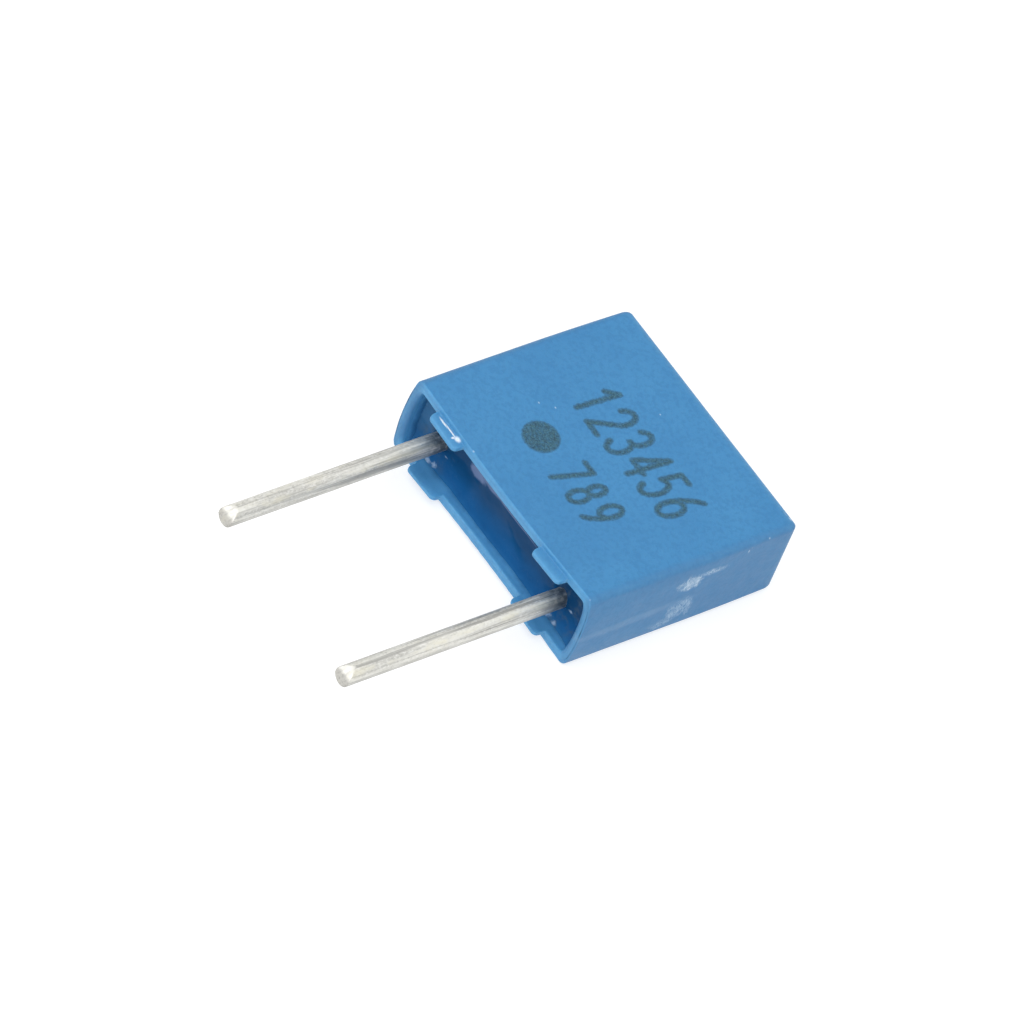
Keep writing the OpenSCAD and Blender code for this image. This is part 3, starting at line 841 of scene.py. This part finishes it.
# ---------------------------------------------------------------- leads
def lead_mesh(x0, tip, seed):
    n = 64
    th = np.linspace(0, 2 * PI, n, endpoint=False)
    roll = 0.34
    ys = [-tip + roll * (1 - math.cos(a)) for a in np.linspace(0.0, PI / 2, 14)]
    ys = [-tip + 0.0, -tip + 0.006, -tip + 0.016] + [y for y in ys if y > -tip + 0.02]
    ys += list(np.linspace(-tip + roll + 0.02, 1.2, 190))
    V, cut = [], []
    for y in ys:
        amp = 0.0035 if y < 0.3 else 0.0035 * max(0.0, 1 - (y - 0.3) / 0.3)
        r = LEAD_R - 0.0036 - 0.006 * max(y, 0) / 1.25 \
            + amp * (0.45 * wob(th * 0 + y * 0.9, seed) + 0.35 * np.sin(2 * th + 0.5 * y + seed) * wob(y * 0.5, seed + 3)
                     + 0.2 * np.sin(5 * th + seed) * wob(y * 1.7, seed + 9))
        x, z = r * np.cos(th), r * np.sin(th)
        zt, k = LEAD_R + 1, np.zeros(n)
        if y < -tip + roll:
            # the shears pressed the top down and burred the lower edge
            s = (-tip + roll - y) / roll
            zt = LEAD_R - roll + roll * math.sqrt(max(1 - s * s, 0)) + 0.006 * np.sin(9 * np.cos(th) + seed)
            k = np.where(z > zt, 1.0, 0.0)
            spread = 1 + 0.0 * s
            z = np.minimum(z, zt)
            x = x * spread
        if y < -tip + 0.02:
            q = (y + tip) / 0.02
            x, z = x * (0.955 + 0.045 * math.sqrt(q)), -0.12 + (z + 0.12) * (0.93 + 0.07 * math.sqrt(q))
            k = np.ones(n)
        V.append(np.stack([x0 + x, np.full(n, y), z], 1))
        cut.append(k)
    # pressed flat where it is welded on, inside the resin
    for y, m in ((1.225, 0.0), (1.26, 1.0), (2.5, 1.0), (3.7, 1.0), (LEAD_END - 0.03, 1.0), (LEAD_END, 0.94)):
        r = LEAD_R - 0.012
        c, s = np.cos(th), np.sin(th)
        if m == 0.0:
            x, z = r * c, r * s
        else:
            q = (np.abs(c) ** 6 + np.abs(s) ** 6) ** (-1 / 6)
            x, z = 0.178 * m * c * q, 0.247 * m * s * q
        V.append(np.stack([x0 + x, np.full(n, y), z], 1))
        cut.append(np.zeros(n))
    rows = len(V)
    V = list(np.vstack(V))
    cut = list(np.concatenate(cut))
    F = []
    for a in range(rows - 1):
        for k in range(n):
            F.append((a * n + k, (a + 1) * n + k, (a + 1) * n + (k + 1) % n, a * n + (k + 1) % n))
    F = [tuple(reversed(f)) for f in F]

    def cap(row, y_in, flip, dish):
        P = np.array(V[row * n:(row + 1) * n])
        c = P.mean(0)
        ring = list(range(row * n, (row + 1) * n))
        for f in (0.8, 0.55, 0.28):
            st = len(V)
            for k in range(n):
                p = c + (P[k] - c) * f
                p[1] += dish * (1 - f) + (0.5 * dish) * (1 - f) * math.sin(7 * f + 3 * th[k] + seed)
                V.append(p)
                cut.append(1.0)
            new = list(range(st, st + n))
            for k in range(n):
                q = (ring[k], ring[(k + 1) % n], new[(k + 1) % n], new[k])
                F.append(tuple(reversed(q)) if flip else q)
            ring = new
        V.append(c + np.array([0, dish, 0]))
        cut.append(1.0)
        for k in range(n):
            q = (ring[k], ring[(k + 1) % n], len(V) - 1)
            F.append(tuple(reversed(q)) if flip else q)
    cap(0, 0, False, 0.012)
    cap(rows - 1, 0, True, -0.004)
    return np.array(V, float), F, {"cut": np.array(cut)}


# ---------------------------------------------------------------- marking
def arc(cx, cy, r, a0, a1, ry=None, n=None):
    n = n or max(4, int(abs(a1 - a0) / 12))
    a = np.radians(np.linspace(a0, a1, n + 1))
    return [(cx + r * math.cos(v), cy + (ry or r) * math.sin(v)) for v in a]


DIGITS = {
    1: [[(0.10, 0.76), (0.36, 1.0), (0.36, 0.0)]],
    2: [arc(0.30, 0.72, 0.27, 165, -38) + [(0.04, 0.0), (0.60, 0.0)]],
    3: [arc(0.28, 0.755, 0.25, 155, -88, 0.245) + arc(0.28, 0.265, 0.28, 88, -158, 0.265)],
    4: [[(0.45, 0.0), (0.45, 1.0), (0.02, 0.30), (0.62, 0.30)]],
    5: [[(0.54, 1.0), (0.14, 1.0), (0.09, 0.55)] + arc(0.28, 0.31, 0.29, 118, -150, 0.31)],
    6: [[(0.47, 1.0), (0.30, 0.86), (0.12, 0.60), (0.04, 0.36)] + arc(0.31, 0.29, 0.27, 170, 520, 0.29)],
    7: [[(0.03, 1.0), (0.58, 1.0), (0.22, 0.0)]],
    8: [arc(0.30, 0.77, 0.21, -90, 270, 0.23), arc(0.30, 0.275, 0.27, 90, 450, 0.265)],
    9: [[(0.16, 0.0), (0.34, 0.14), (0.50, 0.40), (0.58, 0.64)] + arc(0.31, 0.71, 0.27, -10, 340, 0.29)],
}


def resample(pts, step):
    P = np.array(pts, float)
    seg = np.linalg.norm(np.diff(P, axis=0), axis=1)
    keep = np.r_[True, seg > 1e-6]
    P = P[keep]
    seg = np.linalg.norm(np.diff(P, axis=0), axis=1)
    s = np.r_[0, np.cumsum(seg)]
    n = max(2, int(round(s[-1] / step)))
    u = np.linspace(0, s[-1], n + 1)
    u = np.unique(np.round(np.concatenate([u, s[1:-1]]), 5))
    return np.stack([np.interp(u, s, P[:, 0]), np.interp(u, s, P[:, 1])], 1)


def seg_dist(P, pts):
    """Distance of each point to a line of short segments."""
    d = np.full(len(P), 9.0)
    for a, b in zip(pts[:-1], pts[1:]):
        ab = b - a
        u = np.clip(((P - a) @ ab) / max(ab @ ab, 1e-12), 0, 1)
        d = np.minimum(d, np.hypot(*(P - a - u[:, None] * ab).T))
    return d


def print_field(V, rows, dots):
    """Signed distance to the printed marks on the upper broad wall, mm; negative inside."""
    out = np.full(len(V), 0.4)
    top = np.nonzero((V[:, 2] > HT * 0.8) & (V[:, 1] > 1.0) & (V[:, 1] < 5.3))[0]
    P = V[top][:, :2]
    best = np.full(len(top), 0.4)
    for digits, x0, y0, height, pitch, width, slant in rows:
        for q, d in enumerate(digits):
            for line in DIGITS[d]:
                pts = np.array([(x0 + q * pitch + (px + slant * py) * height * 0.62, y0 + py * height)
                                for px, py in line])
                best = np.minimum(best, seg_dist(P, resample(pts, 0.06)) - width / 2)
    for cx, cy, r in dots:
        best = np.minimum(best, np.hypot(P[:, 0] - cx, P[:, 1] - cy) - r)
    out[top] = best
    return out


# ---------------------------------------------------------------- pieces
V, F, A = case_mesh()
A["marks"] = print_field(V, [((1, 2, 3, 4, 5, 6), -1.74, 3.44, 1.22, 0.685, 0.158, 0.10),
                             ((7, 8, 9), -0.10, 1.66, 1.02, 0.655, 0.155, 0.10)], [(-1.06, 2.12, 0.47)])
case = make("case_shell", V, F, M_CASE, ["case"], A)
V, F = resin_mesh()
res = make("resin_fill", V, F, M_RESIN, ["seal_resin"])
V, F, A = lead_mesh(-LEAD_X, TIP_L, 1.0)
make("wire_left", V, F, M_TIN, ["lead_left"], A)
V, F, A = lead_mesh(LEAD_X, TIP_R, 4.0)
make("wire_right", V, F, M_TIN, ["lead_right"], A)

# inner parts stay as the CAD made them, with finishes of their own
for name, mat in (("film_stack", film("metallised_film", lin(172, 170, 160), lin(206, 204, 196), 260.0)),
                  ("cover_film_upper", film("cover_film", lin(214, 208, 190), lin(230, 226, 212), 90.0)),
                  ("end_spray_left", sprayed())):
    others = {"film_stack": [], "cover_film_upper": ["cover_film_lower"], "end_spray_left": ["end_spray_right"]}[name]
    for nm in [name] + others:
        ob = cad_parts[nm]
        if ob.material_slots:
            for sl in ob.material_slots:
                sl.material = mat
        else:
            ob.data.materials.append(mat)

# ---------------------------------------------------------------- floor
fz = float(CAD_LO[2]) * 1000
n = 24
gx = np.linspace(-250, 250, n + 1)
FV = [(x, y, fz) for x in gx for y in gx]
FF = [(i * (n + 1) + j, (i + 1) * (n + 1) + j, (i + 1) * (n + 1) + j + 1, i * (n + 1) + j + 1)
      for i in range(n) for j in range(n)]
ft = Tree("floor_white")
fn = ft.noise(0.25, 3.0, 0.5)
ft.set(Base_Color=ft.mix(fn, (0.40, 0.40, 0.40), (0.43, 0.43, 0.43)), Roughness=ft.ramp(fn, 0.3, 0.7, 0.85, 0.95))
ft.bsdf.inputs["Emission Color"].default_value = (1.0, 1.0, 1.0, 1.0)
ft.bsdf.inputs["Emission Strength"].default_value = 0.66
ft.bsdf.inputs["Specular IOR Level"].default_value = 0.1
me = bpy.data.meshes.new("floor")
me.from_pydata((np.array(FV) * 0.001).tolist(), [], FF)
me.materials.append(ft.mat)
floor = bpy.data.objects.new("floor", me)
bpy.context.scene.collection.objects.link(floor)

# ---------------------------------------------------------------- light
scene = bpy.context.scene
world = bpy.data.worlds.new("studio")
world.use_nodes = True
bg = world.node_tree.nodes["Background"]
bg.inputs[0].default_value = (1.0, 1.0, 1.0, 1.0)
bg.inputs[1].default_value = 0.74
scene.world = world


def area(name, loc, aim, size, power, colour=(1, 1, 1)):
    ld = bpy.data.lights.new(name, "AREA")
    ld.shape = "RECTANGLE"
    ld.size, ld.size_y = size
    ld.energy = power
    ld.color = colour
    ob = bpy.data.objects.new(name, ld)
    scene.collection.objects.link(ob)
    d = np.array(aim, float) - np.array(loc, float)
    m = Matrix.Translation(loc) @ (-Vector(d)).to_track_quat("Z", "Y").to_matrix().to_4x4()
    ob.matrix_world = m
    return ob


area("key", (0.02, -0.22, 0.45), (0, 0.002, 0), (0.60, 0.60), 1.64)
area("fill_front", (0.20, -0.46, 0.20), (0, 0.002, 0), (0.40, 0.24), 0.40)
area("fill_back", (0.10, 0.50, 0.30), (0, 0.002, 0), (0.40, 0.30), 0.25)

# ---------------------------------------------------------------- camera
AZ, EL, ROLL = 36.7302, 45.9032, 24.1857
DIST, FPX, CX, CY = 416.5, 43.2934, 593.017, 485.926
TARGET = np.array([0.0, 3.3, 0.0])
a, e, r = math.radians(AZ), math.radians(EL), math.radians(ROLL)
back = np.array([math.sin(a) * math.cos(e), -math.cos(a) * math.cos(e), math.sin(e)])
right0 = np.array([math.cos(a), math.sin(a), 0.0])
up0 = np.cross(back, right0)
right = right0 * math.cos(r) + up0 * math.sin(r)
up = -right0 * math.sin(r) + up0 * math.cos(r)
pos = TARGET + back * DIST
# turn the camera so that the image centre is the optical axis
fwd = -back + right * (512 - CX) / (FPX * DIST) - up * (512 - CY) / (FPX * DIST)
fwd /= np.linalg.norm(fwd)
right = right - fwd * (right @ fwd)
right /= np.linalg.norm(right)
up = np.cross(right, fwd)
cam_data = bpy.data.cameras.new("camera")
cam_data.sensor_width = 36.0
cam_data.lens = FPX * DIST * 36.0 / 1024.0
cam_data.clip_start, cam_data.clip_end = 0.01, 20.0
cam = bpy.data.objects.new("camera", cam_data)
scene.collection.objects.link(cam)
M = Matrix.Identity(4)
for q in range(3):
    M[q][0], M[q][1], M[q][2], M[q][3] = right[q], up[q], -fwd[q], pos[q] * 0.001
cam.matrix_world = M
scene.camera = cam
scene.view_settings.view_transform = "Standard"
scene.view_settings.look = "None"
